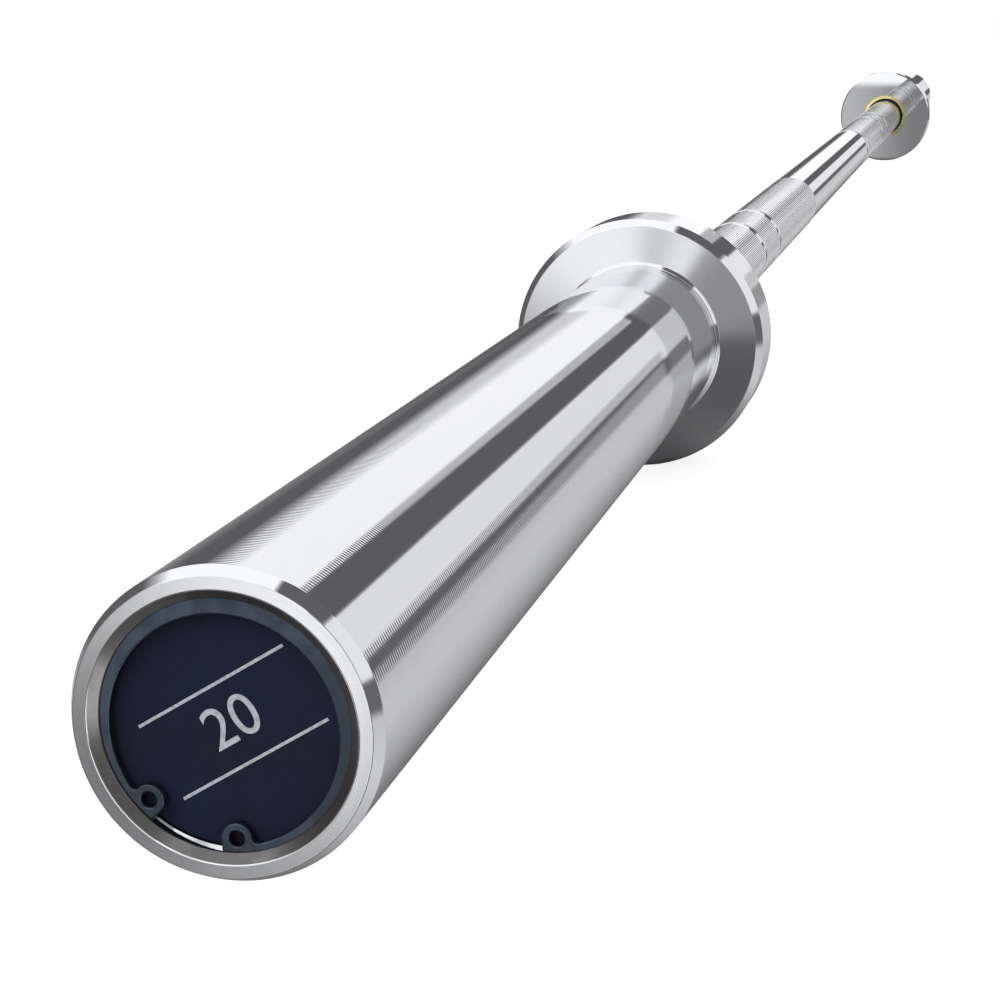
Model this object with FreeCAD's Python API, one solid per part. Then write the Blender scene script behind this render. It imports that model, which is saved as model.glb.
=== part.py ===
import FreeCAD, Part
import math
import os

# Olympic barbell for 50 mm plates, in millimetres.
# The bar lies along X, its middle is at the origin, and Z is up.

# Overall sizes
grip_length = 1320.0
sleeve_length = 380.0
sleeve_diameter = 50.0
collar_diameter = 78.0
collar_thickness = 27.0
grip_diameter = 28.0

# Grip: knurled lands between plain ring marks, with a plain middle and plain ends
plain_depth = 0.15
plain_end = 6.0
ring_mark_width = 8.5
outer_mark_offset = 214.0
inner_mark_offset = 272.0
knurl_end_offset = 452.0

# Shaft journals
journal_diameter = 25.0
shoulder_depth = 12.0
shoulder_bevel = 0.6
journal_stub = 4.5
journal_bevel = 1.5

# Collar
collar_outer_bevel_radial = 2.0
collar_outer_bevel_axial = 2.65
collar_inner_bevel = 1.0
collar_web = 8.0
lip_foot = 1.35
lip_crest = 0.4
lip_rise = 0.9

# Sleeve, with a turned-down spigot that stands a little proud of the collar
sleeve_bore = 27.0
spigot_step = 0.4
spigot_relief = 1.5
spigot_bevel = 0.5
shoulder_edge = 0.2
tip_bevel_radial = 1.2
tip_bevel_axial = 2.4
mouth_bevel_radial = 1.6
mouth_bevel_axial = 1.2
chamber_diameter = 38.0
chamber_length = 15.0

# Bushings, seals and thrust washers
bushing_diameter = 36.5
inner_bushing_length = 50.0
outer_bushing_length = 40.0
bushing_bevel = 0.4
running_clearance = 0.05
seal_socket_diameter = 31.2
seal_recess = 0.5
seal_length = 3.0
seal_lip = 0.5
seal_clearance = 0.1
washer_thickness = 2.0
washer_bore_clearance = 0.15
washer_rim_clearance = 0.3
end_float = 0.25

# End cap and the snap ring that holds it
cap_seat_diameter = 40.0
cap_thickness = 4.0
cap_bevel = 0.4
cap_clearance = 0.1
cap_ring_recess = 1.6
cap_ring_thickness = 1.75
cap_ring_bite = 1.25
cap_ring_wide = 3.9
cap_ring_narrow = 2.1
cap_ring_lug_height = 5.8
cap_ring_lug_width = 5.0
cap_ring_lug_hole = 2.5
cap_ring_lug_angle = 24.5

# Snap ring on the journal
shaft_ring_thickness = 1.2
shaft_ring_bite = 0.55
shaft_ring_wide = 3.0
shaft_ring_narrow = 1.8
shaft_ring_lug_height = 4.4
shaft_ring_lug_width = 4.2
shaft_ring_lug_hole = 2.0
shaft_ring_lug_angle = 18.0

# Snap rings: play in their grooves, rounding at the lugs, and where their openings point
ring_groove_play = 0.05
lug_rounding = 0.8
ring_opening_angle = -70.0

# Radii
sleeve_radius = sleeve_diameter / 2
spigot_radius = sleeve_radius - spigot_step
collar_radius = collar_diameter / 2
land_radius = grip_diameter / 2
plain_radius = land_radius - plain_depth
journal_radius = journal_diameter / 2
bushing_radius = bushing_diameter / 2
bushing_bore_radius = journal_radius + running_clearance
seal_socket_radius = seal_socket_diameter / 2
cap_seat_radius = cap_seat_diameter / 2
cap_ring_radius = cap_seat_radius + cap_ring_bite
shaft_ring_radius = journal_radius - shaft_ring_bite

# Stations along the right half of the bar, from the middle outwards
collar_face = grip_length / 2
collar_back = collar_face + collar_thickness
sleeve_root = collar_face + collar_web
sleeve_shoulder = collar_back + spigot_relief
sleeve_tip = collar_back + sleeve_length
shoulder = collar_face + shoulder_depth
inner_bushing_step = shoulder + washer_thickness + end_float
inner_bushing_end = collar_face + inner_bushing_length
cap_ring_front = sleeve_tip - cap_ring_recess
cap_front = cap_ring_front - cap_ring_thickness
cap_back = cap_front - cap_thickness
outer_bushing_end = cap_back - chamber_length
outer_bushing_start = outer_bushing_end - outer_bushing_length
outer_washer_start = outer_bushing_end + end_float
shaft_ring_start = outer_washer_start + washer_thickness
shaft_ring_end = shaft_ring_start + shaft_ring_thickness
journal_tip = shaft_ring_end + journal_stub


def turned(profile):
    """Solid turned about the bar axis from a closed outline of (x, radius) points."""
    points = [FreeCAD.Vector(x, radius, 0) for x, radius in profile]
    outline = Part.makePolygon(points + points[:1])
    return Part.Face(outline).revolve(FreeCAD.Vector(0, 0, 0), FreeCAD.Vector(1, 0, 0), 360)


def disc(radius, thickness, centre_radius=0.0, angle=0.0):
    """Round plate across the bar axis, its centre at a radius and an angle from +Y."""
    turn = math.radians(angle)
    centre = FreeCAD.Vector(0, centre_radius * math.cos(turn), centre_radius * math.sin(turn))
    return Part.makeCylinder(radius, thickness, centre, FreeCAD.Vector(1, 0, 0))


def strip(start, end, width, thickness, angle):
    """Rectangular plate across the bar axis that runs outwards at an angle from +Y."""
    plate = Part.makeBox(thickness, end - start, width, FreeCAD.Vector(0, start, -width / 2))
    plate.rotate(FreeCAD.Vector(0, 0, 0), FreeCAD.Vector(1, 0, 0), angle)
    return plate


def wedge(reach, half_angle, thickness):
    """Triangular plate across the bar axis with one corner on it, open towards +Y."""
    rise = reach * math.tan(math.radians(half_angle))
    corners = [(0, 0), (reach, -rise), (reach, rise)]
    points = [FreeCAD.Vector(0, y, z) for y, z in corners]
    return Part.Face(Part.makePolygon(points + points[:1])).extrude(FreeCAD.Vector(thickness, 0, 0))


def snap_ring(band, lugs, holes, thickness):
    """Open ring: a tapering band with a holed lug at each end, rounded where they meet."""
    ring = band.fuse(lugs).removeSplitter()
    side = min(ring.Faces, key=lambda face: face.CenterOfMass.x)
    side = side.makeOffset2D(lug_rounding).makeOffset2D(-lug_rounding)
    ring = side.extrude(FreeCAD.Vector(thickness, 0, 0)).cut(holes)
    ring.rotate(FreeCAD.Vector(0, 0, 0), FreeCAD.Vector(1, 0, 0), ring_opening_angle)
    return ring.Solids[0]


def inner_snap_ring():
    """Ring sprung outwards into a groove in a bore, its lugs pointing inwards."""
    thickness = cap_ring_thickness
    taper = (cap_ring_wide - cap_ring_narrow) / 2
    inner_radius = cap_ring_radius - (cap_ring_wide + cap_ring_narrow) / 2
    outline = disc(cap_ring_radius, thickness)
    opening = wedge(2 * cap_ring_radius, cap_ring_lug_angle, thickness)
    band = outline.cut([disc(inner_radius, thickness, taper), opening])
    lug_radius = cap_ring_lug_width / 2
    lug_centre = cap_ring_radius - cap_ring_lug_height + lug_radius
    lugs = []
    holes = []
    for angle in (-cap_ring_lug_angle, cap_ring_lug_angle):
        neck = strip(lug_centre, 2 * cap_ring_radius, cap_ring_lug_width, thickness, angle)
        lugs.append(disc(lug_radius, thickness, lug_centre, angle))
        lugs.append(neck.common(outline))
        holes.append(disc(cap_ring_lug_hole / 2, thickness, lug_centre, angle))
    return snap_ring(band, lugs, holes, thickness)


def outer_snap_ring():
    """Ring sprung inwards into a groove on a shaft, its lugs pointing outwards."""
    thickness = shaft_ring_thickness
    taper = (shaft_ring_wide - shaft_ring_narrow) / 2
    outer_radius = shaft_ring_radius + (shaft_ring_wide + shaft_ring_narrow) / 2
    lug_tip = shaft_ring_radius + shaft_ring_lug_height
    seat = disc(shaft_ring_radius, thickness)
    opening = wedge(2 * lug_tip, shaft_ring_lug_angle, thickness)
    band = disc(outer_radius, thickness, -taper).cut([seat, opening])
    lug_radius = shaft_ring_lug_width / 2
    lug_centre = lug_tip - lug_radius
    lugs = []
    holes = []
    for angle in (-shaft_ring_lug_angle, shaft_ring_lug_angle):
        neck = strip(shaft_ring_radius / 2, lug_centre, shaft_ring_lug_width, thickness, angle)
        lugs.append(disc(lug_radius, thickness, lug_centre, angle))
        lugs.append(neck.cut(seat))
        holes.append(disc(shaft_ring_lug_hole / 2, thickness, lug_centre, angle))
    return snap_ring(band, lugs, holes, thickness)


def shaft():
    """One-piece shaft: knurled lands on the grip, shoulders, journals and ring grooves."""
    half_mark = ring_mark_width / 2
    outer_mark = collar_face - outer_mark_offset
    inner_mark = collar_face - inner_mark_offset
    lands = [
        (collar_face - knurl_end_offset, inner_mark - half_mark),
        (inner_mark + half_mark, outer_mark - half_mark),
        (outer_mark + half_mark, collar_face - plain_end),
    ]
    right = []
    for start, end in lands:
        right.append((start, plain_radius))
        right.append((start, land_radius))
        right.append((end, land_radius))
        right.append((end, plain_radius))
    right.append((shoulder - shoulder_bevel, plain_radius))
    right.append((shoulder, plain_radius - shoulder_bevel))
    right.append((shoulder, journal_radius))
    right.append((shaft_ring_start - ring_groove_play, journal_radius))
    right.append((shaft_ring_start - ring_groove_play, shaft_ring_radius))
    right.append((shaft_ring_end + ring_groove_play, shaft_ring_radius))
    right.append((shaft_ring_end + ring_groove_play, journal_radius))
    right.append((journal_tip - journal_bevel, journal_radius))
    right.append((journal_tip, journal_radius - journal_bevel))
    right.append((journal_tip, 0))
    left = [(-x, radius) for x, radius in reversed(right)]
    return turned(left + right)


def sleeve():
    """Tube for the plates, bored in steps for the bushings, the end cap and its snap ring."""
    groove_front = cap_ring_front + ring_groove_play
    groove_back = cap_front - ring_groove_play
    return turned([
        (sleeve_root, bushing_radius),
        (sleeve_root, spigot_radius - spigot_bevel),
        (sleeve_root + spigot_bevel, spigot_radius),
        (sleeve_shoulder, spigot_radius),
        (sleeve_shoulder, sleeve_radius - shoulder_edge),
        (sleeve_shoulder + shoulder_edge, sleeve_radius),
        (sleeve_tip - tip_bevel_axial, sleeve_radius),
        (sleeve_tip, sleeve_radius - tip_bevel_radial),
        (sleeve_tip, cap_seat_radius + mouth_bevel_radial),
        (sleeve_tip - mouth_bevel_axial, cap_seat_radius),
        (groove_front, cap_seat_radius),
        (groove_front, cap_ring_radius),
        (groove_back, cap_ring_radius),
        (groove_back, cap_seat_radius),
        (cap_back, cap_seat_radius),
        (cap_back, chamber_diameter / 2),
        (outer_bushing_end, chamber_diameter / 2),
        (outer_bushing_end, bushing_radius),
        (outer_bushing_start, bushing_radius),
        (outer_bushing_start, sleeve_bore / 2),
        (inner_bushing_end, sleeve_bore / 2),
        (inner_bushing_end, bushing_radius),
    ])


def collar():
    """Flange with a lipped socket for the sleeve, and a web that the inner bushing passes through."""
    return turned([
        (collar_face, bushing_radius),
        (collar_face, collar_radius - collar_inner_bevel),
        (collar_face + collar_inner_bevel, collar_radius),
        (collar_back - collar_outer_bevel_axial, collar_radius),
        (collar_back, collar_radius - collar_outer_bevel_radial),
        (collar_back, spigot_radius + lip_foot),
        (collar_back + lip_rise, spigot_radius + lip_crest),
        (collar_back + lip_rise, spigot_radius),
        (sleeve_root, spigot_radius),
        (sleeve_root, bushing_radius),
    ])


def inner_bushing():
    """Bronze bushing with a wide mouth for the seal, the shaft shoulder and the washer."""
    return turned([
        (collar_face, seal_socket_radius + bushing_bevel),
        (collar_face, bushing_radius - bushing_bevel),
        (collar_face + bushing_bevel, bushing_radius),
        (inner_bushing_end, bushing_radius),
        (inner_bushing_end, bushing_bore_radius),
        (inner_bushing_step, bushing_bore_radius),
        (inner_bushing_step, seal_socket_radius),
        (collar_face + bushing_bevel, seal_socket_radius),
    ])


def dust_seal():
    """Rubber ring in the mouth of the inner bushing, its lip close to the shaft."""
    front = collar_face + seal_recess
    back = front + seal_length
    lip_radius = plain_radius + seal_clearance
    return turned([
        (front, lip_radius),
        (front, seal_socket_radius),
        (back, seal_socket_radius),
        (back, lip_radius + seal_lip),
        (front + seal_length / 3, lip_radius),
    ])


def thrust_washer(start, rim_radius):
    """Flat ring on the journal that takes the end load."""
    bore_radius = journal_radius + washer_bore_clearance
    return turned([
        (start, bore_radius),
        (start, rim_radius),
        (start + washer_thickness, rim_radius),
        (start + washer_thickness, bore_radius),
    ])


def outer_bushing():
    """Plain bronze bushing that carries the outer end of the sleeve."""
    return turned([
        (outer_bushing_start, bushing_bore_radius),
        (outer_bushing_start, bushing_radius),
        (outer_bushing_end - bushing_bevel, bushing_radius),
        (outer_bushing_end, bushing_radius - bushing_bevel),
        (outer_bushing_end, bushing_bore_radius),
    ])


def end_cap():
    """Plain disc that closes the end of the sleeve, seated on a step in the bore."""
    rim_radius = cap_seat_radius - cap_clearance
    return turned([
        (cap_back, 0),
        (cap_back, rim_radius),
        (cap_front - cap_bevel, rim_radius),
        (cap_front, rim_radius - cap_bevel),
        (cap_front, 0),
    ])


def placed(shape, x):
    """Copy of a shape moved along the bar."""
    return shape.translated(FreeCAD.Vector(x, 0, 0))


right_pieces = {
    "sleeve": sleeve(),
    "collar": collar(),
    "inner_bushing": inner_bushing(),
    "dust_seal": dust_seal(),
    "inner_thrust_washer": thrust_washer(shoulder, seal_socket_radius - washer_rim_clearance),
    "outer_bushing": outer_bushing(),
    "outer_thrust_washer": thrust_washer(outer_washer_start, bushing_radius - washer_rim_clearance),
    "shaft_snap_ring": placed(outer_snap_ring(), shaft_ring_start),
    "end_cap": end_cap(),
    "cap_snap_ring": placed(inner_snap_ring(), cap_front),
}

os.makedirs("parts", exist_ok=True)
shaft().exportStep("parts/shaft.step")
for name, shape in right_pieces.items():
    shape.exportStep("parts/right_" + name + ".step")
    mirrored = shape.mirror(FreeCAD.Vector(0, 0, 0), FreeCAD.Vector(1, 0, 0))
    mirrored.exportStep("parts/left_" + name + ".step")
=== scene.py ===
import math

import bmesh
import bpy
from mathutils import Matrix, Vector


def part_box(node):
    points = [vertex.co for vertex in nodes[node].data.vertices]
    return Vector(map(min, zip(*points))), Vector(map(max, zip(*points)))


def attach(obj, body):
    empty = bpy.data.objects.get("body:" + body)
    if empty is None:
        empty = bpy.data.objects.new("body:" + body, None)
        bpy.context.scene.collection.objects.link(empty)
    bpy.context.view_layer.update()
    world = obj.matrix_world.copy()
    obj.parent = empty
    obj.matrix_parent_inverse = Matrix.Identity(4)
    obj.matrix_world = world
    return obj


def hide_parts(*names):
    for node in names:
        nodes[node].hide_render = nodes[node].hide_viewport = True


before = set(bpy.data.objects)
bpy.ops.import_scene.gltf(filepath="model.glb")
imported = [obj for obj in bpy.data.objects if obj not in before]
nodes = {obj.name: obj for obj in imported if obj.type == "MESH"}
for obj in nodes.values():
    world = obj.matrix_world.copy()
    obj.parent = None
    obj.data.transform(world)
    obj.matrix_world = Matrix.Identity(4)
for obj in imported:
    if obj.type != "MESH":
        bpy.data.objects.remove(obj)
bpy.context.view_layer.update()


# Shaft: one spring-steel bar, ground, knurled and hard-chromed all over.
# The middle and the ring marks are left plain, so they shine like a mirror.
chrome_colour = (0.95, 0.955, 0.965, 1)
smudge_scale = 55.0
smudge_cover = (0.45, 0.75)
hairline_stretch = (900.0, 60.0, 60.0)
hairline_cover = (0.58, 0.72)
rising = (0.0, 1.0)


def material_nodes(name):
    """New material with its node tree and its Principled shader."""
    material = bpy.data.materials.new(name)
    material.use_nodes = True
    return material, material.node_tree, material.node_tree.nodes["Principled BSDF"]


def set_inputs(tree, node, inputs):
    """Sets or links a node's inputs, by name or index."""
    for name, value in inputs.items():
        if isinstance(value, bpy.types.NodeSocket):
            tree.links.new(value, node.inputs[name])
        else:
            node.inputs[name].default_value = value


def add_node(tree, kind, settings=None, inputs=None):
    """Node of a kind, with its properties and inputs set."""
    node = tree.nodes.new(kind)
    for name, value in (settings or {}).items():
        setattr(node, name, value)
    set_inputs(tree, node, inputs or {})
    return node


def math_node(tree, operation, first, second=0.0):
    """Result of one arithmetic step."""
    return add_node(tree, "ShaderNodeMath", {"operation": operation}, {0: first, 1: second}).outputs[0]


def map_range(tree, value, old, new, smooth=True):
    """A value carried from one range to another, and held at its ends."""
    kind = "SMOOTHSTEP" if smooth else "LINEAR"
    inputs = {"Value": value, "From Min": old[0], "From Max": old[1], "To Min": new[0], "To Max": new[1]}
    return add_node(tree, "ShaderNodeMapRange", {"interpolation_type": kind}, inputs).outputs["Result"]


def object_place(tree):
    """Place on a piece, in metres from the middle of the bar."""
    return add_node(tree, "ShaderNodeTexCoord").outputs["Object"]


def noise(tree, place, scale, detail):
    """Cloudy pattern of values round one half."""
    inputs = {"Vector": place, "Scale": scale, "Detail": detail}
    return add_node(tree, "ShaderNodeTexNoise", None, inputs).outputs["Fac"]


def new_group(name, taken, given):
    """Empty shader group with named numbers that it takes and gives."""
    group = bpy.data.node_groups.new(name, "ShaderNodeTree")
    for socket in taken:
        group.interface.new_socket(socket, in_out="INPUT", socket_type="NodeSocketFloat")
    for socket in given:
        group.interface.new_socket(socket, in_out="OUTPUT", socket_type="NodeSocketFloat")
    return group


def handling_marks_group():
    """Cloudy finger smudges and fine hairlines that polished metal picks up."""
    group = new_group("handling_marks", [], ["Smudges", "Hairlines"])
    place = object_place(group)
    cloud = noise(group, place, smudge_scale, detail=4.0)
    smudges = map_range(group, cloud, smudge_cover, rising)
    stretched = add_node(group, "ShaderNodeMapping", None, {"Vector": place, "Scale": hairline_stretch})
    lines = noise(group, stretched.outputs[0], scale=1.0, detail=2.0)
    hairlines = map_range(group, lines, hairline_cover, rising)
    add_node(group, "NodeGroupOutput", None, {"Smudges": smudges, "Hairlines": hairlines})
    return group


handling_marks = handling_marks_group()


def polished_metal(name, colour, roughness, smudge_roughness):
    """Metal whose gloss is broken slightly by smudges and hairlines."""
    material, tree, shader = material_nodes(name)
    marks = add_node(tree, "ShaderNodeGroup", {"node_tree": handling_marks}).outputs
    smudged = math_node(tree, "MULTIPLY", marks["Smudges"], smudge_roughness)
    lined = math_node(tree, "MULTIPLY", marks["Hairlines"], smudge_roughness)
    total = math_node(tree, "ADD", math_node(tree, "ADD", smudged, lined), roughness)
    set_inputs(tree, shader, {"Base Color": colour, "Metallic": 1.0, "Roughness": total})
    return material


def paint(node_name, material):
    """Gives a CAD node its finish."""
    nodes[node_name].material_slots[0].material = material


shaft_chrome = polished_metal("shaft_chrome", chrome_colour, roughness=0.03, smudge_roughness=0.03)
paint("shaft", shaft_chrome)


# Knurling: fine ridges that a straight roller presses along the grip, each steeper on one side.
# Each half of the grip has three knurled lengths, parted by the plain ring marks.
mm = 0.001
sides = {"left": -1, "right": 1}
ridges_round = 112
ridge_steps = 10
ridge_height = 0.132 * mm
ridge_climb = 0.8
ridge_swell = 2.5
ridge_corner = math.radians(9)
grip_radius = 14.0 * mm
knurl_lift = 0.005 * mm
knurl_root_radius = grip_radius + knurl_lift
knurl_depth = 0.15 * mm
knurl_run_out = 0.45 * mm
knurl_cuts = 3
plain_end = 6.0 * mm
ring_mark_width = 8.5 * mm
half_mark = ring_mark_width / 2
outer_mark_offset = 214.0 * mm
inner_mark_offset = 272.0 * mm
knurl_end_offset = 452.0 * mm
same_place = 0.001 * mm
grip_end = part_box("right_collar")[0].x
outer_mark = grip_end - outer_mark_offset
inner_mark = grip_end - inner_mark_offset
knurled_lengths = {
    "grip": (grip_end - knurl_end_offset, inner_mark - half_mark),
    "mark": (inner_mark + half_mark, outer_mark - half_mark),
    "outer": (outer_mark + half_mark, grip_end - plain_end),
}


def set_radius(verts, radius):
    """Moves points straight out from or in to the bar axis, to one radius."""
    for vert in verts:
        vert.co.yz = vert.co.yz.normalized() * radius


def mesh_piece(bm, name):
    """Object at the origin that holds a finished bmesh."""
    mesh = bpy.data.meshes.new(name)
    bm.to_mesh(mesh)
    bm.free()
    piece = bpy.data.objects.new(name, mesh)
    bpy.context.scene.collection.objects.link(piece)
    return piece


def add_finishes(piece, *finishes):
    """Gives a piece its finishes, with the first of them on every face."""
    for finish in finishes:
        piece.data.materials.append(finish)


def knurled_band(name, start, end):
    """Closed band of ridges from one station along the bar to another, tapered at both ends.
    Each ridge swells up quickly, flattens at its crest and drops steeply."""
    steps_round = ridges_round * ridge_steps
    bm = bmesh.new()
    bmesh.ops.create_grid(bm, x_segments=knurl_cuts, y_segments=steps_round, size=1.0)
    for vert in bm.verts:
        along = start + (end - start) * (vert.co.x + 1) / 2
        place = round(steps_round * (vert.co.y + 1) / 2)
        turn = 2 * math.pi * place / steps_round
        climbed = min(place % ridge_steps / (ridge_steps * ridge_climb), 1.0)
        radius = knurl_root_radius + ridge_height * (1 - (1 - climbed) ** ridge_swell)
        vert.co = (along, radius * math.cos(turn), radius * math.sin(turn))
    bmesh.ops.remove_doubles(bm, verts=bm.verts, dist=same_place)
    rims = [edge for edge in bm.edges if edge.is_boundary]
    slopes = bmesh.ops.extrude_edge_only(bm, edges=rims)["geom"]
    feet = [item for item in slopes if isinstance(item, bmesh.types.BMVert)]
    set_radius(feet, knurl_root_radius - knurl_depth)
    for vert in feet:
        vert.co.x += math.copysign(knurl_run_out, vert.co.x - (start + end) / 2)
    bmesh.ops.bridge_loops(bm, edges=[edge for edge in bm.edges if edge.is_boundary])
    bmesh.ops.recalc_face_normals(bm, faces=bm.faces)
    for face in bm.faces:
        face.smooth = True
    for edge in bm.edges:
        edge.smooth = edge.calc_face_angle() < ridge_corner
    return mesh_piece(bm, name)


knurl_chrome = polished_metal("knurl_chrome", chrome_colour, roughness=0.12, smudge_roughness=0.03)
for side, sign in sides.items():
    for length, (start, end) in knurled_lengths.items():
        band = knurled_band(side + "_knurl_" + length, sign * start, sign * end)
        add_finishes(band, knurl_chrome)
        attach(band, "shaft")


# Bushings: sintered bronze tubes pressed into each sleeve, the inner one through the collar.
# Only the inner one's rim shows, faced a little crowned, as a gold ring round the shaft.
bronze_colour = (0.99, 0.88, 0.45, 1)
bronze_pore_colour = (0.72, 0.52, 0.22, 1)
pore_scale = 2600.0
pore_cover = (0.56, 0.68)
pore_strength = (0.0, 0.3)
bronze_roughness = (0.2, 0.34)
bronze_rim_tilt = 0.09
lathe_ring_scale = 3000.0


def lathe_marks_group():
    """Fine rings that a facing tool leaves: each sheds light outwards, with some grain."""
    group = new_group("lathe_marks", ["Tilt", "Grain"], ["Height", "Rings"])
    taken = add_node(group, "NodeGroupInput").outputs
    across = add_node(
        group, "ShaderNodeVectorMath", {"operation": "MULTIPLY"}, {0: object_place(group), 1: (0, 1, 1)}
    )
    distance = add_node(group, "ShaderNodeVectorMath", {"operation": "LENGTH"}, {0: across.outputs[0]})
    radius = distance.outputs["Value"]
    rings = add_node(
        group, "ShaderNodeTexNoise", {"noise_dimensions": "1D"},
        {"W": math_node(group, "MULTIPLY", radius, lathe_ring_scale), "Scale": 1.0, "Detail": 2.0},
    ).outputs["Fac"]
    slope = math_node(group, "MULTIPLY", radius, taken["Tilt"])
    grain = math_node(group, "MULTIPLY", rings, taken["Grain"])
    height = math_node(group, "SUBTRACT", grain, slope)
    add_node(group, "NodeGroupOutput", None, {"Height": height, "Rings": rings})
    return group


lathe_marks = lathe_marks_group()


def bumped(tree, height, strength, distance):
    """Direction of a surface that a pattern of heights raises."""
    inputs = {"Height": height, "Strength": strength, "Distance": distance}
    return add_node(tree, "ShaderNodeBump", None, inputs).outputs["Normal"]


def two_colours(tree, mask, first, second):
    """One colour that gives way to another where a mask rises."""
    inputs = {"Factor": mask, 6: first, 7: second}
    return add_node(tree, "ShaderNodeMix", {"data_type": "RGBA"}, inputs).outputs[2]


def bronze_material():
    """Bright bronze with fine open pores."""
    material, tree, shader = material_nodes("bronze")
    pores = noise(tree, object_place(tree), pore_scale, detail=3.0)
    pored = map_range(tree, pores, pore_cover, pore_strength)
    marks = add_node(tree, "ShaderNodeGroup", {"node_tree": lathe_marks}, {"Tilt": bronze_rim_tilt})
    set_inputs(tree, shader, {
        "Base Color": two_colours(tree, pored, bronze_colour, bronze_pore_colour),
        "Metallic": 1.0,
        "Roughness": map_range(tree, pored, pore_strength, bronze_roughness),
        "Normal": bumped(tree, marks.outputs["Height"], strength=1.0, distance=1.0),
    })
    return material


bronze = bronze_material()
for side in sides:
    paint(side + "_inner_bushing", bronze)
    paint(side + "_outer_bushing", bronze)


# Thrust washers and the snap ring on the journal: hardened steel, ground and oiled.
# They sit inside the sleeve and keep it from sliding along the shaft.
washer_colour = (0.42, 0.43, 0.45, 1)
spring_colour = (0.125, 0.163, 0.212, 1)
oil_scale = 160.0
oil_cover = (0.35, 0.65)
oil_shade = 0.75
oil_roughness = 0.12
ground_scale = 3500.0
ground_depth = 0.02 * mm


def oiled_steel(name, colour, roughness, grain):
    """Steel with a directionless ground grain and a patchy film of oil."""
    material, tree, shader = material_nodes(name)
    place = object_place(tree)
    film = noise(tree, place, oil_scale, detail=3.0)
    oiled_colour = tuple(oil_shade * channel for channel in colour[:3]) + (1,)
    ground = noise(tree, place, ground_scale, detail=2.0)
    set_inputs(tree, shader, {
        "Base Color": two_colours(tree, map_range(tree, film, oil_cover, rising), colour, oiled_colour),
        "Metallic": 1.0,
        "Roughness": map_range(tree, film, oil_cover, (roughness, roughness + oil_roughness)),
        "Normal": bumped(tree, ground, grain, ground_depth),
    })
    return material


washer_steel = oiled_steel("washer_steel", washer_colour, roughness=0.28, grain=0.3)
spring_steel = oiled_steel("spring_steel", spring_colour, roughness=0.36, grain=0.5)
for side in sides:
    paint(side + "_inner_thrust_washer", washer_steel)
    paint(side + "_outer_thrust_washer", washer_steel)
    paint(side + "_shaft_snap_ring", spring_steel)


# Dust seals: moulded nitrile rubber rings pushed into the mouth of each inner bushing.
# Their lips run close round the shaft, and they look like a black gap inside the gold rim.
rubber_colour = (0.012, 0.012, 0.014, 1)
rubber_bloom_colour = (0.035, 0.035, 0.037, 1)
bloom_scale = 500.0
bloom_cover = (0.45, 0.75)
bloom_dulling = (0.3, 0.7)
rubber_roughness = (0.5, 0.7)
rubber_gloss = 0.2


def rubber_material():
    """Black moulded rubber with a faint bloom."""
    material, tree, shader = material_nodes("black_rubber")
    bloom = noise(tree, object_place(tree), bloom_scale, detail=4.0)
    bloomed = map_range(tree, bloom, bloom_cover, rising)
    set_inputs(tree, shader, {
        "Base Color": two_colours(tree, bloomed, rubber_colour, rubber_bloom_colour),
        "Roughness": map_range(tree, bloom, bloom_dulling, rubber_roughness),
        "Specular IOR Level": rubber_gloss,
    })
    return material


rubber = rubber_material()
for side in sides:
    paint(side + "_dust_seal", rubber)


# Collars: flanges turned from steel bar, shrunk onto the sleeves and chromed.
# The rim and the outer face, where the plates stop, keep their lathe marks.
# The face towards the grip is polished like a mirror.
collar_steps = 144
plate_chrome_colour = (0.85, 0.855, 0.87, 1)
collar_outer_bevel_radial = 2.0 * mm
collar_outer_bevel_axial = 2.65 * mm
collar_inner_bevel = 1.0 * mm
collar_web = 8.0 * mm
lip_foot = 1.35 * mm
lip_crest = 0.4 * mm
lip_rise = 0.9 * mm
edge_rounding = 0.12 * mm
spigot_radius = 24.6 * mm
bushing_radius = 18.25 * mm
groove_pitch = 1.0 * mm
groove_depth = 0.0175 * mm
stop_face_tilt = 0.16
face_grain = 0.002 * mm
face_ring_span = (0.3, 0.7)
face_ring_roughness = 0.04
low_corner = math.radians(15)
high_corner = math.radians(75)


def turned_piece(name, outline, steps, grooved):
    """Piece turned about the bar axis from a closed outline of (x, radius) points.
    The outline's edge from the point numbered grooved gets lathe grooves."""
    bm = bmesh.new()
    verts = [bm.verts.new((x, radius, 0)) for x, radius in outline]
    edges = [bm.edges.new(pair) for pair in zip(verts, verts[1:] + verts[:1])]
    grooves = round(edges[grooved].calc_length() / groove_pitch)
    cut = bmesh.ops.subdivide_edges(bm, edges=edges[grooved:grooved + 1], cuts=2 * grooves - 1)
    points = [item for item in cut["geom_inner"] if isinstance(item, bmesh.types.BMVert)]
    points.sort(key=lambda vert: vert.co.x)
    for vert in points[::2]:
        vert.co.y -= groove_depth
    return spun(bm, name, steps)


def spun(bm, name, steps):
    """Piece made by one full turn of an outline about the bar axis.
    The edges that run round it stay crisp, and it shades smoothly between them."""
    bmesh.ops.spin(
        bm, geom=bm.verts[:] + bm.edges[:], cent=(0, 0, 0), axis=(1, 0, 0), angle=2 * math.pi, steps=steps,
        use_merge=True,
    )
    bmesh.ops.recalc_face_normals(bm, faces=bm.faces)
    corners = [edge for edge in bm.edges if low_corner < edge.calc_face_angle() < high_corner]
    corners = [edge for edge in corners if runs_round(edge)]
    bmesh.ops.bevel(
        bm, geom=corners, offset=edge_rounding, segments=2, profile=0.5, affect="EDGES", material=-1,
    )
    for face in bm.faces:
        face.smooth = True
    for edge in bm.edges:
        edge.smooth = not runs_round(edge)
    return mesh_piece(bm, name)


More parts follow.
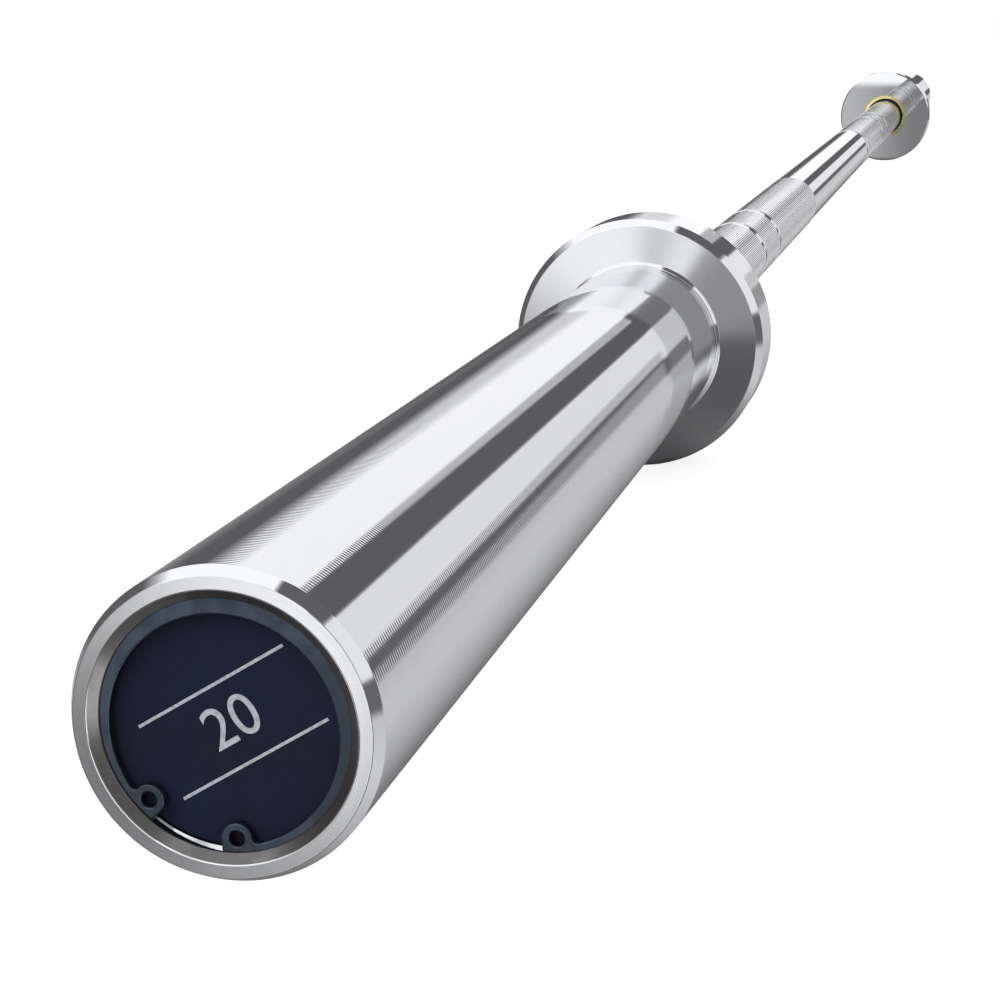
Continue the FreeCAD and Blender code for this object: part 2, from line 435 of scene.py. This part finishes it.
def runs_round(edge):
    """True for an edge that follows a circle about the bar axis."""
    first, second = (vert.co for vert in edge.verts)
    level = abs(first.x - second.x) < same_place
    return level and abs(first.yz.length - second.yz.length) < same_place


def finish_faces(piece, finish, chosen):
    """Gives one of a piece's other finishes to the faces whose centres a test picks."""
    index = piece.data.materials.find(finish.name)
    for polygon in piece.data.polygons:
        if chosen(polygon.center):
            polygon.material_index = index


def faced_metal(name, colour, roughness, tilt, grain):
    """Chrome over a face that still has its lathe marks."""
    material, tree, shader = material_nodes(name)
    marks = add_node(tree, "ShaderNodeGroup", {"node_tree": lathe_marks}, {"Tilt": tilt, "Grain": grain})
    ring_roughness = (roughness, roughness + face_ring_roughness)
    set_inputs(tree, shader, {
        "Base Color": colour,
        "Metallic": 1.0,
        "Roughness": map_range(tree, marks.outputs["Rings"], face_ring_span, ring_roughness),
        "Normal": bumped(tree, marks.outputs["Height"], strength=1.0, distance=1.0),
    })
    return material


bright_chrome = polished_metal("bright_chrome", chrome_colour, roughness=0.04, smudge_roughness=0.03)
mirror_chrome = polished_metal("mirror_chrome", chrome_colour, roughness=0.012, smudge_roughness=0.006)
stop_face = faced_metal(
    "stop_face", plate_chrome_colour, roughness=0.1, tilt=stop_face_tilt, grain=face_grain,
)
collar_low, collar_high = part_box("right_collar")
collar_radius = collar_high.z
collar_back = collar_high.x - lip_rise
for side, sign in sides.items():
    face = sign * collar_low.x
    back = sign * collar_back
    collar = turned_piece(
        side + "_turned_collar",
        [
            (face, bushing_radius),
            (face, collar_radius - collar_inner_bevel),
            (face + sign * collar_inner_bevel, collar_radius),
            (back - sign * collar_outer_bevel_axial, collar_radius),
            (back, collar_radius - collar_outer_bevel_radial),
            (back, spigot_radius + lip_foot),
            (back + sign * lip_rise, spigot_radius + lip_crest),
            (back + sign * lip_rise, spigot_radius),
            (face + sign * collar_web, spigot_radius),
            (face + sign * collar_web, bushing_radius),
        ],
        collar_steps,
        grooved=2,
    )
    add_finishes(collar, bright_chrome, stop_face, mirror_chrome)
    finish_faces(collar, stop_face, lambda centre: abs(centre.x - back) < same_place)
    finish_faces(collar, mirror_chrome, lambda centre: abs(centre.x - face) < same_place)
    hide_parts(side + "_collar")
    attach(collar, side + "_sleeve")


# Sleeves: thick steel tubes turned to take 50 mm plates, then chromed.
# Fine lathe grooves run all along the bearing surface, and the end is faced.
sleeve_steps = 96
spigot_relief = 1.5 * mm
spigot_bevel = 0.5 * mm
shoulder_edge = 0.2 * mm
tip_bevel_radial = 1.2 * mm
tip_bevel_axial = 2.4 * mm
mouth_bevel_radial = 1.6 * mm
mouth_bevel_axial = 1.2 * mm
cap_seat_radius = 20.0 * mm
ring_groove_radius = 21.25 * mm
ring_groove_play = 0.05 * mm
chamber_radius = 19.0 * mm
bore_radius = 13.5 * mm
end_face_tilt = 0.08
mouth_radius = cap_seat_radius + mouth_bevel_radial - edge_rounding
groove_margin = 0.01 * mm
groove_wall_radius = cap_seat_radius + groove_margin
bore_colour = (0.27, 0.265, 0.26, 1)


def grooved_sleeve(name, sign):
    """Tube with lathe grooves along its bearing surface, bored in steps."""
    low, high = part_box("right_sleeve")
    ring_low, ring_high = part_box("right_cap_snap_ring")
    cap_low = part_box("right_end_cap")[0]
    outer_low, outer_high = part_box("right_outer_bushing")
    inner_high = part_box("right_inner_bushing")[1]
    radius = high.z
    shoulder = collar_back + spigot_relief
    outline = [
        (shoulder + shoulder_edge, radius),
        (high.x - tip_bevel_axial, radius),
        (high.x, radius - tip_bevel_radial),
        (high.x, cap_seat_radius + mouth_bevel_radial),
        (high.x - mouth_bevel_axial, cap_seat_radius),
        (ring_high.x + ring_groove_play, cap_seat_radius),
        (ring_high.x + ring_groove_play, ring_groove_radius),
        (ring_low.x - ring_groove_play, ring_groove_radius),
        (ring_low.x - ring_groove_play, cap_seat_radius),
        (cap_low.x, cap_seat_radius),
        (cap_low.x, chamber_radius),
        (outer_high.x, chamber_radius),
        (outer_high.x, bushing_radius),
        (outer_low.x, bushing_radius),
        (outer_low.x, bore_radius),
        (inner_high.x, bore_radius),
        (inner_high.x, bushing_radius),
        (low.x, bushing_radius),
        (low.x, spigot_radius - spigot_bevel),
        (low.x + spigot_bevel, spigot_radius),
        (shoulder, spigot_radius),
        (shoulder, radius - shoulder_edge),
    ]
    return turned_piece(name, [(sign * x, r) for x, r in outline], sleeve_steps, grooved=0)


def in_ring_groove(centre, tip):
    """True for a place in the groove that takes the cap's snap ring."""
    behind_mouth = abs(centre.x - tip) > mouth_bevel_axial
    return behind_mouth and groove_wall_radius < centre.yz.length < mouth_radius


sleeve_chrome = polished_metal(
    "sleeve_chrome", plate_chrome_colour, roughness=0.035, smudge_roughness=0.03,
)
faced_end = faced_metal("faced_end", chrome_colour, roughness=0.2, tilt=end_face_tilt, grain=face_grain)
bore_steel = oiled_steel("bore_steel", bore_colour, roughness=0.24, grain=0.3)
for side, sign in sides.items():
    sleeve = grooved_sleeve(side + "_turned_sleeve", sign)
    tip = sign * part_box("right_sleeve")[1].x
    add_finishes(sleeve, sleeve_chrome, faced_end, bore_steel, bright_chrome)
    finish_faces(sleeve, bright_chrome, lambda centre: abs(centre.x - tip) < tip_bevel_axial)
    finish_faces(sleeve, bore_steel, lambda centre: centre.yz.length < mouth_radius)
    finish_faces(sleeve, bright_chrome, lambda centre: in_ring_groove(centre, tip))
    finish_faces(sleeve, faced_end, lambda centre: abs(centre.x - tip) < same_place)
    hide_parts(side + "_sleeve")
    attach(sleeve, side + "_sleeve")


# End caps: steel discs in navy enamel, dropped into the end of each sleeve.
# Two pale printed lines with a plain 20 between them mark the bar's weight class.
enamel_colour = (0.0122, 0.0195, 0.0435, 1)
enamel_light_colour = (0.0152, 0.0188, 0.0365, 1)
enamel_scale = 60.0
enamel_cover = (0.35, 0.65)
enamel_roughness = (0.38, 0.46)
enamel_gloss = 0.12
peel_scale = 900.0
peel_strength = 0.4
peel_depth = 0.02 * mm
print_colour = (0.62, 0.66, 0.72, 1)
ink_scale = 1500.0
ink_cover = (0.4, 0.7)
ink_wear = (0.0, 0.25)
ink_roughness = 0.45
print_thickness = 0.03 * mm
print_turn = math.radians(32)
print_shift = 0.7 * mm
print_merge = 0.0001 * mm
line_offset = 6.5 * mm
line_length = 27.5 * mm
line_width = 0.5 * mm
numeral = "20"
numeral_height = 9.5 * mm


def enamel_material():
    """Satin navy enamel with a faint orange peel."""
    material, tree, shader = material_nodes("navy_enamel")
    place = object_place(tree)
    cloud = noise(tree, place, enamel_scale, detail=2.0)
    clouded = map_range(tree, cloud, enamel_cover, rising)
    peel = noise(tree, place, peel_scale, detail=2.0)
    set_inputs(tree, shader, {
        "Base Color": two_colours(tree, clouded, enamel_colour, enamel_light_colour),
        "Roughness": map_range(tree, cloud, enamel_cover, enamel_roughness),
        "Specular IOR Level": enamel_gloss,
        "Normal": bumped(tree, peel, peel_strength, peel_depth),
    })
    return material


def print_material():
    """Pale screen-printed ink, slightly uneven."""
    material, tree, shader = material_nodes("pale_print")
    uneven = noise(tree, object_place(tree), ink_scale, detail=2.0)
    worn = map_range(tree, uneven, ink_cover, ink_wear)
    set_inputs(tree, shader, {
        "Base Color": two_colours(tree, worn, print_colour, enamel_colour),
        "Roughness": ink_roughness,
    })
    return material


def cap_print(name, sign):
    """Two lines and a number in ink on the face of a cap, upright to someone who faces it."""
    bm = bmesh.new()
    for height in (-line_offset, line_offset):
        line = bmesh.ops.create_cube(bm, size=1.0)["verts"]
        bmesh.ops.scale(bm, verts=line, vec=(line_length, line_width, print_thickness))
        bmesh.ops.translate(bm, verts=line, vec=(0, height, 0))
    curve = bpy.data.curves.new(name, "FONT")
    curve.body = numeral
    curve.size = numeral_height
    curve.align_x = "CENTER"
    curve.align_y = "CENTER"
    curve.extrude = print_thickness / 2
    text = bpy.data.objects.new(name + "_text", curve)
    text_mesh = bpy.data.meshes.new_from_object(text)
    bm.from_mesh(text_mesh)
    bpy.data.objects.remove(text)
    bpy.data.meshes.remove(text_mesh)
    facing = Matrix.Rotation(sign * math.pi / 2, 4, "Z") @ Matrix.Rotation(math.pi / 2, 4, "X")
    front = sign * (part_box("right_end_cap")[1].x + print_thickness / 4)
    turned = Matrix.Translation((print_shift, 0, 0)) @ Matrix.Rotation(print_turn, 4, "Z")
    place = Matrix.Translation((front, 0, 0)) @ facing @ turned
    bmesh.ops.transform(bm, matrix=place, verts=bm.verts)
    bmesh.ops.remove_doubles(bm, verts=bm.verts, dist=print_merge)
    bmesh.ops.recalc_face_normals(bm, faces=bm.faces)
    return mesh_piece(bm, name)


enamel = enamel_material()
ink = print_material()
for side, sign in sides.items():
    paint(side + "_end_cap", enamel)
    lines = cap_print(side + "_cap_print", sign)
    add_finishes(lines, ink)
    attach(lines, side + "_sleeve")


# Cap snap rings: tapered spring-steel rings, blacked, sprung into a groove over each cap.
# They are stamped and then tumbled, which rounds every edge; the holed lugs take the pliers.
ring_rounding = 0.28 * mm
ring_corner = math.radians(40)
ring_flatness = math.radians(1)
flat_facing = 0.999


def tumbled_ring(name, node_name):
    """Snap ring with the shape of its solid and rounded edges."""
    bm = bmesh.new()
    bm.from_mesh(nodes[node_name].data)
    bmesh.ops.remove_doubles(bm, verts=bm.verts, dist=same_place)
    bmesh.ops.dissolve_limit(bm, angle_limit=ring_flatness, verts=bm.verts, edges=bm.edges)
    corners = [edge for edge in bm.edges if edge.calc_face_angle() > ring_corner]
    bmesh.ops.bevel(
        bm, geom=corners, offset=ring_rounding, segments=3, profile=0.5, affect="EDGES", material=-1,
    )
    for face in bm.faces:
        face.smooth = abs(face.normal.x) < flat_facing
    return mesh_piece(bm, name)


for side in sides:
    ring = tumbled_ring(side + "_tumbled_cap_ring", side + "_cap_snap_ring")
    add_finishes(ring, spring_steel)
    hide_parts(side + "_cap_snap_ring")
    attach(ring, side + "_sleeve")


# Floor: a plain white sweep that the bar lies on, its collars touching it.
# It shows white to the camera and still takes the bar's soft shadow.
# The chrome shows it only close by, and a little further out beside the collars, greyer than it is there:
# painted shade in the reflections.
floor_half_width = 30.0
floor_level = -collar_radius
white = (1, 1, 1, 1)
floor_glow = 0.85
# The floor's own grey, then the darker grey that mirrored rays see: painted shade in the reflections.
floor_grey_and_painted_shade = (0.3, 0.24)
shade_start = 10.0 * mm
shade_reach = (75.0 * mm, 30.0 * mm)
shade_spread = (25.0 * mm, 120.0 * mm)


def floor_material():
    """White floor that fades out of the reflections a short way below the metal, and is painted darker
    where they show it.
    """
    material, tree, shader = material_nodes("floor_white")
    path = add_node(tree, "ShaderNodeLightPath").outputs
    mirrored = path["Is Glossy Ray"]
    # Mirrored rays see a darker floor than the lamps light: painted shade.
    set_inputs(tree, shader, {
        "Base Color": map_range(tree, mirrored, rising, floor_grey_and_painted_shade),
        "Roughness": 1.0,
        "Specular IOR Level": 0.0,
        "Emission Color": white,
        "Emission Strength": math_node(tree, "MULTIPLY", path["Is Camera Ray"], floor_glow),
    })
    along_bar = add_node(tree, "ShaderNodeSeparateXYZ", None, {0: object_place(tree)}).outputs["X"]
    from_middle = math_node(tree, "ABSOLUTE", along_bar)
    from_collar = math_node(tree, "ABSOLUTE", math_node(tree, "SUBTRACT", from_middle, collar_back))
    # How far below the metal the painted shade shows in the chrome, further out beside the collars.
    reach = map_range(tree, from_collar, shade_spread, shade_reach)
    distant = map_range(tree, path["Ray Length"], (shade_start, reach), rising)
    clear = math_node(tree, "MULTIPLY", mirrored, distant)
    unseen = add_node(tree, "ShaderNodeBsdfTransparent").outputs[0]
    mixed = add_node(tree, "ShaderNodeMixShader", None, {0: clear, 1: shader.outputs[0], 2: unseen})
    set_inputs(tree, tree.nodes["Material Output"], {"Surface": mixed.outputs[0]})
    return material


floor_bm = bmesh.new()
bmesh.ops.create_grid(floor_bm, x_segments=1, y_segments=1, size=floor_half_width)
bmesh.ops.translate(floor_bm, verts=floor_bm.verts, vec=(0, 0, floor_level))
floor = mesh_piece(floor_bm, "floor")
add_finishes(floor, floor_material())


# Studio: long strip lights and black cards run beside the bar, and a large soft box stands
# behind the camera, with a grey card, a dark hood and a bright panel hung before it.
# The metal shows them, and below the bar a painted floor with the bar's painted shadow on it, while
# everything else gets an even soft light.
soft_light = (0.5, 0.5, 0.5, 1)
falling = (1.0, 0.0)
box_left = (-0.022, 0.002)
box_left_lean = 0.216
box_right = (0.27, 0.87)
box_right_lean = -0.603
box_bottom = (-0.40, -0.362)
box_bottom_lean = 0.588
box_end = (0.62, 0.78)
box_tint = (1.0, 1.0, 1.02)
box_front = (-0.45, -0.30)
seam_place = 0.096
seam_width = 0.111
seam_depth = 0.354
seam_rise = (0.0, 0.15)
wall_levels = (0.104, 0.307)
wall_rise = (-0.148, -0.066)
card_sides = (0.032, 0.078)
card_heights = (-0.076, -0.0393)
card_blur = 0.0018
card_fade = (0.040, 0.072)
card_levels = (0.2, 0.465)
hood_sides = (-0.075, 0.09)
hood_heights = (-0.029, 0.06)
hood_blur = 0.003
hood_level = 0.14
fill_sides = (-0.92, -0.42)
fill_heights = (-0.85, -0.2)
fill_blur = 0.06
fill_level = 1.3
strip_tint = (1.0, 1.0, 1.03)
half_turn = 180
# Levels round the bar: the strips and cards above, and below it a painted floor with the bar's painted
# shadow, as the metal mirrors them.
strip_and_floor_shadow_levels = [
    (-180, 0.13), (-175, 0.13), (-170, 0.55), (-142, 0.62), (-110, 0.43), (-90, 0.25), (-70, 0.16),
    (-54, 0.22), (-34, 0.6), (-10, 0.2), (-4, 0.11), (30, 0.11), (37, 0.45), (44, 1.0), (100.2, 1.0),
    (101.8, 0.115), (131.8, 0.115), (133.2, 0.8), (168, 0.8), (170.5, 0.13), (180, 0.13),
]
world = bpy.data.worlds.new("studio")
bpy.context.scene.world = world
world.use_nodes = True
world.cycles.sampling_method = "NONE"
studio = world.node_tree
direction = add_node(studio, "ShaderNodeTexCoord").outputs["Generated"]
parts = add_node(studio, "ShaderNodeSeparateXYZ", None, {0: direction}).outputs
across = parts["Y"]
upwards = parts["Z"]


def strips_and_painted_floor_shadow():
    """Light from the strips and cards, and below the bar a painted floor and painted shadow, by degrees
    round the bar, up from the camera's left.
    """
    angle = math_node(studio, "ARCTAN2", upwards, across)
    around = map_range(studio, angle, (-math.pi, math.pi), rising, smooth=False)
    strips = add_node(studio, "ShaderNodeValToRGB", None, {0: around})
    stops = strips.color_ramp.elements
    ready = len(stops)
    for index, (degrees, level) in enumerate(strip_and_floor_shadow_levels):
        position = (degrees + half_turn) / (2 * half_turn)
        stop = stops[index] if index < ready else stops.new(position)
        stop.position = position
        stop.color = tuple(level * channel for channel in strip_tint) + (1,)
    return strips.outputs["Color"]


def product(*values):
    """All the values multiplied together."""
    total = values[0]
    for value in values[1:]:
        total = math_node(studio, "MULTIPLY", total, value)
    return total


def leaning(along, aside, lean):
    """Place measured across an edge of the soft box that leans."""
    return math_node(studio, "ADD", along, product(aside, lean))


def soft_box():
    """Light of the box behind the camera, with a darker seam down its cloth."""
    left_edge = map_range(studio, leaning(across, upwards, box_left_lean), box_left, rising)
    right_fade = map_range(studio, leaning(across, upwards, box_right_lean), box_right, falling)
    bottom_edge = map_range(studio, leaning(upwards, across, box_bottom_lean), box_bottom, rising)
    end_fade = map_range(studio, across, box_end, falling)
    from_seam = math_node(studio, "ABSOLUTE", math_node(studio, "SUBTRACT", across, seam_place))
    seam_shade = map_range(studio, from_seam, (0.0, seam_width), (seam_depth, 0.0))
    seam_shade = product(seam_shade, map_range(studio, upwards, seam_rise, rising))
    seam_light = math_node(studio, "SUBTRACT", 1.0, seam_shade)
    return product(left_edge, right_fade, bottom_edge, end_fade, seam_light)


def between(value, places, blur):
    """1 between two places and 0 outside them, with soft edges."""
    low, high = places
    rise = map_range(studio, value, (low - blur, low + blur), rising)
    return product(rise, map_range(studio, value, (high - blur, high + blur), falling))


def hung_before(light, places, heights, blur, level):
    """Light with a panel of its own level hung before it."""
    panel = product(between(across, places, blur), between(upwards, heights, blur))
    return add_node(studio, "ShaderNodeMix", None, {"Factor": panel, 2: light, 3: level}).outputs[0]


wall_light = map_range(studio, upwards, wall_rise, wall_levels)
rear_light = math_node(studio, "MAXIMUM", soft_box(), wall_light)
card_level = map_range(studio, across, card_fade, card_levels)
rear_light = hung_before(rear_light, card_sides, card_heights, card_blur, card_level)
rear_light = hung_before(rear_light, hood_sides, hood_heights, hood_blur, hood_level)
rear_light = hung_before(rear_light, fill_sides, fill_heights, fill_blur, fill_level)
rear_colour = add_node(
    studio, "ShaderNodeVectorMath", {"operation": "SCALE"}, {0: box_tint, "Scale": rear_light}
).outputs[0]
behind = map_range(studio, parts["X"], box_front, falling)
mirrored_studio = two_colours(studio, behind, strips_and_painted_floor_shadow(), rear_colour)
seen_by = add_node(studio, "ShaderNodeLightPath").outputs
lit = two_colours(studio, seen_by["Is Glossy Ray"], soft_light, mirrored_studio)
backdrop = two_colours(studio, seen_by["Is Camera Ray"], lit, white)
set_inputs(studio, studio.nodes["Background"], {"Color": backdrop})


# Lamps: two large soft panels, high on the left and the right of the bar.
# They light the paint, rubber and floor, and the strips alone show in the chrome.
panel_width = 2.4


def soft_panel(name, place, power):
    """Square area lamp that faces the bar."""
    lamp = bpy.data.lights.new(name, "AREA")
    lamp.energy = power
    lamp.size = panel_width
    panel = bpy.data.objects.new(name, lamp)
    panel.location = place
    panel.rotation_euler = (-Vector(place)).to_track_quat("-Z", "Y").to_euler()
    panel.visible_glossy = False
    panel.visible_camera = False
    bpy.context.scene.collection.objects.link(panel)


soft_panel("key_panel", place=(-2.4, 1.6, 2.2), power=70.0)
soft_panel("fill_panel", place=(1.2, -2.4, 2.6), power=55.0)


# Camera: a long lens just above the near end of the bar.
# It looks along the bar, so the far collar shows small behind the near one.
camera_place = (-1.3635, -0.1107, 0.1073)
camera_direction = Vector((0.95005, 0.21744, -0.22391))
camera_data = bpy.data.cameras.new("camera")
camera_data.lens = 79.45
camera_data.sensor_width = 36.0
camera_data.clip_start = 0.01
camera_data.clip_end = 200.0
camera = bpy.data.objects.new("camera", camera_data)
camera.location = camera_place
camera.rotation_euler = camera_direction.to_track_quat("-Z", "Y").to_euler()
bpy.context.scene.collection.objects.link(camera)
bpy.context.scene.camera = camera
bpy.context.scene.view_settings.view_transform = "Standard"
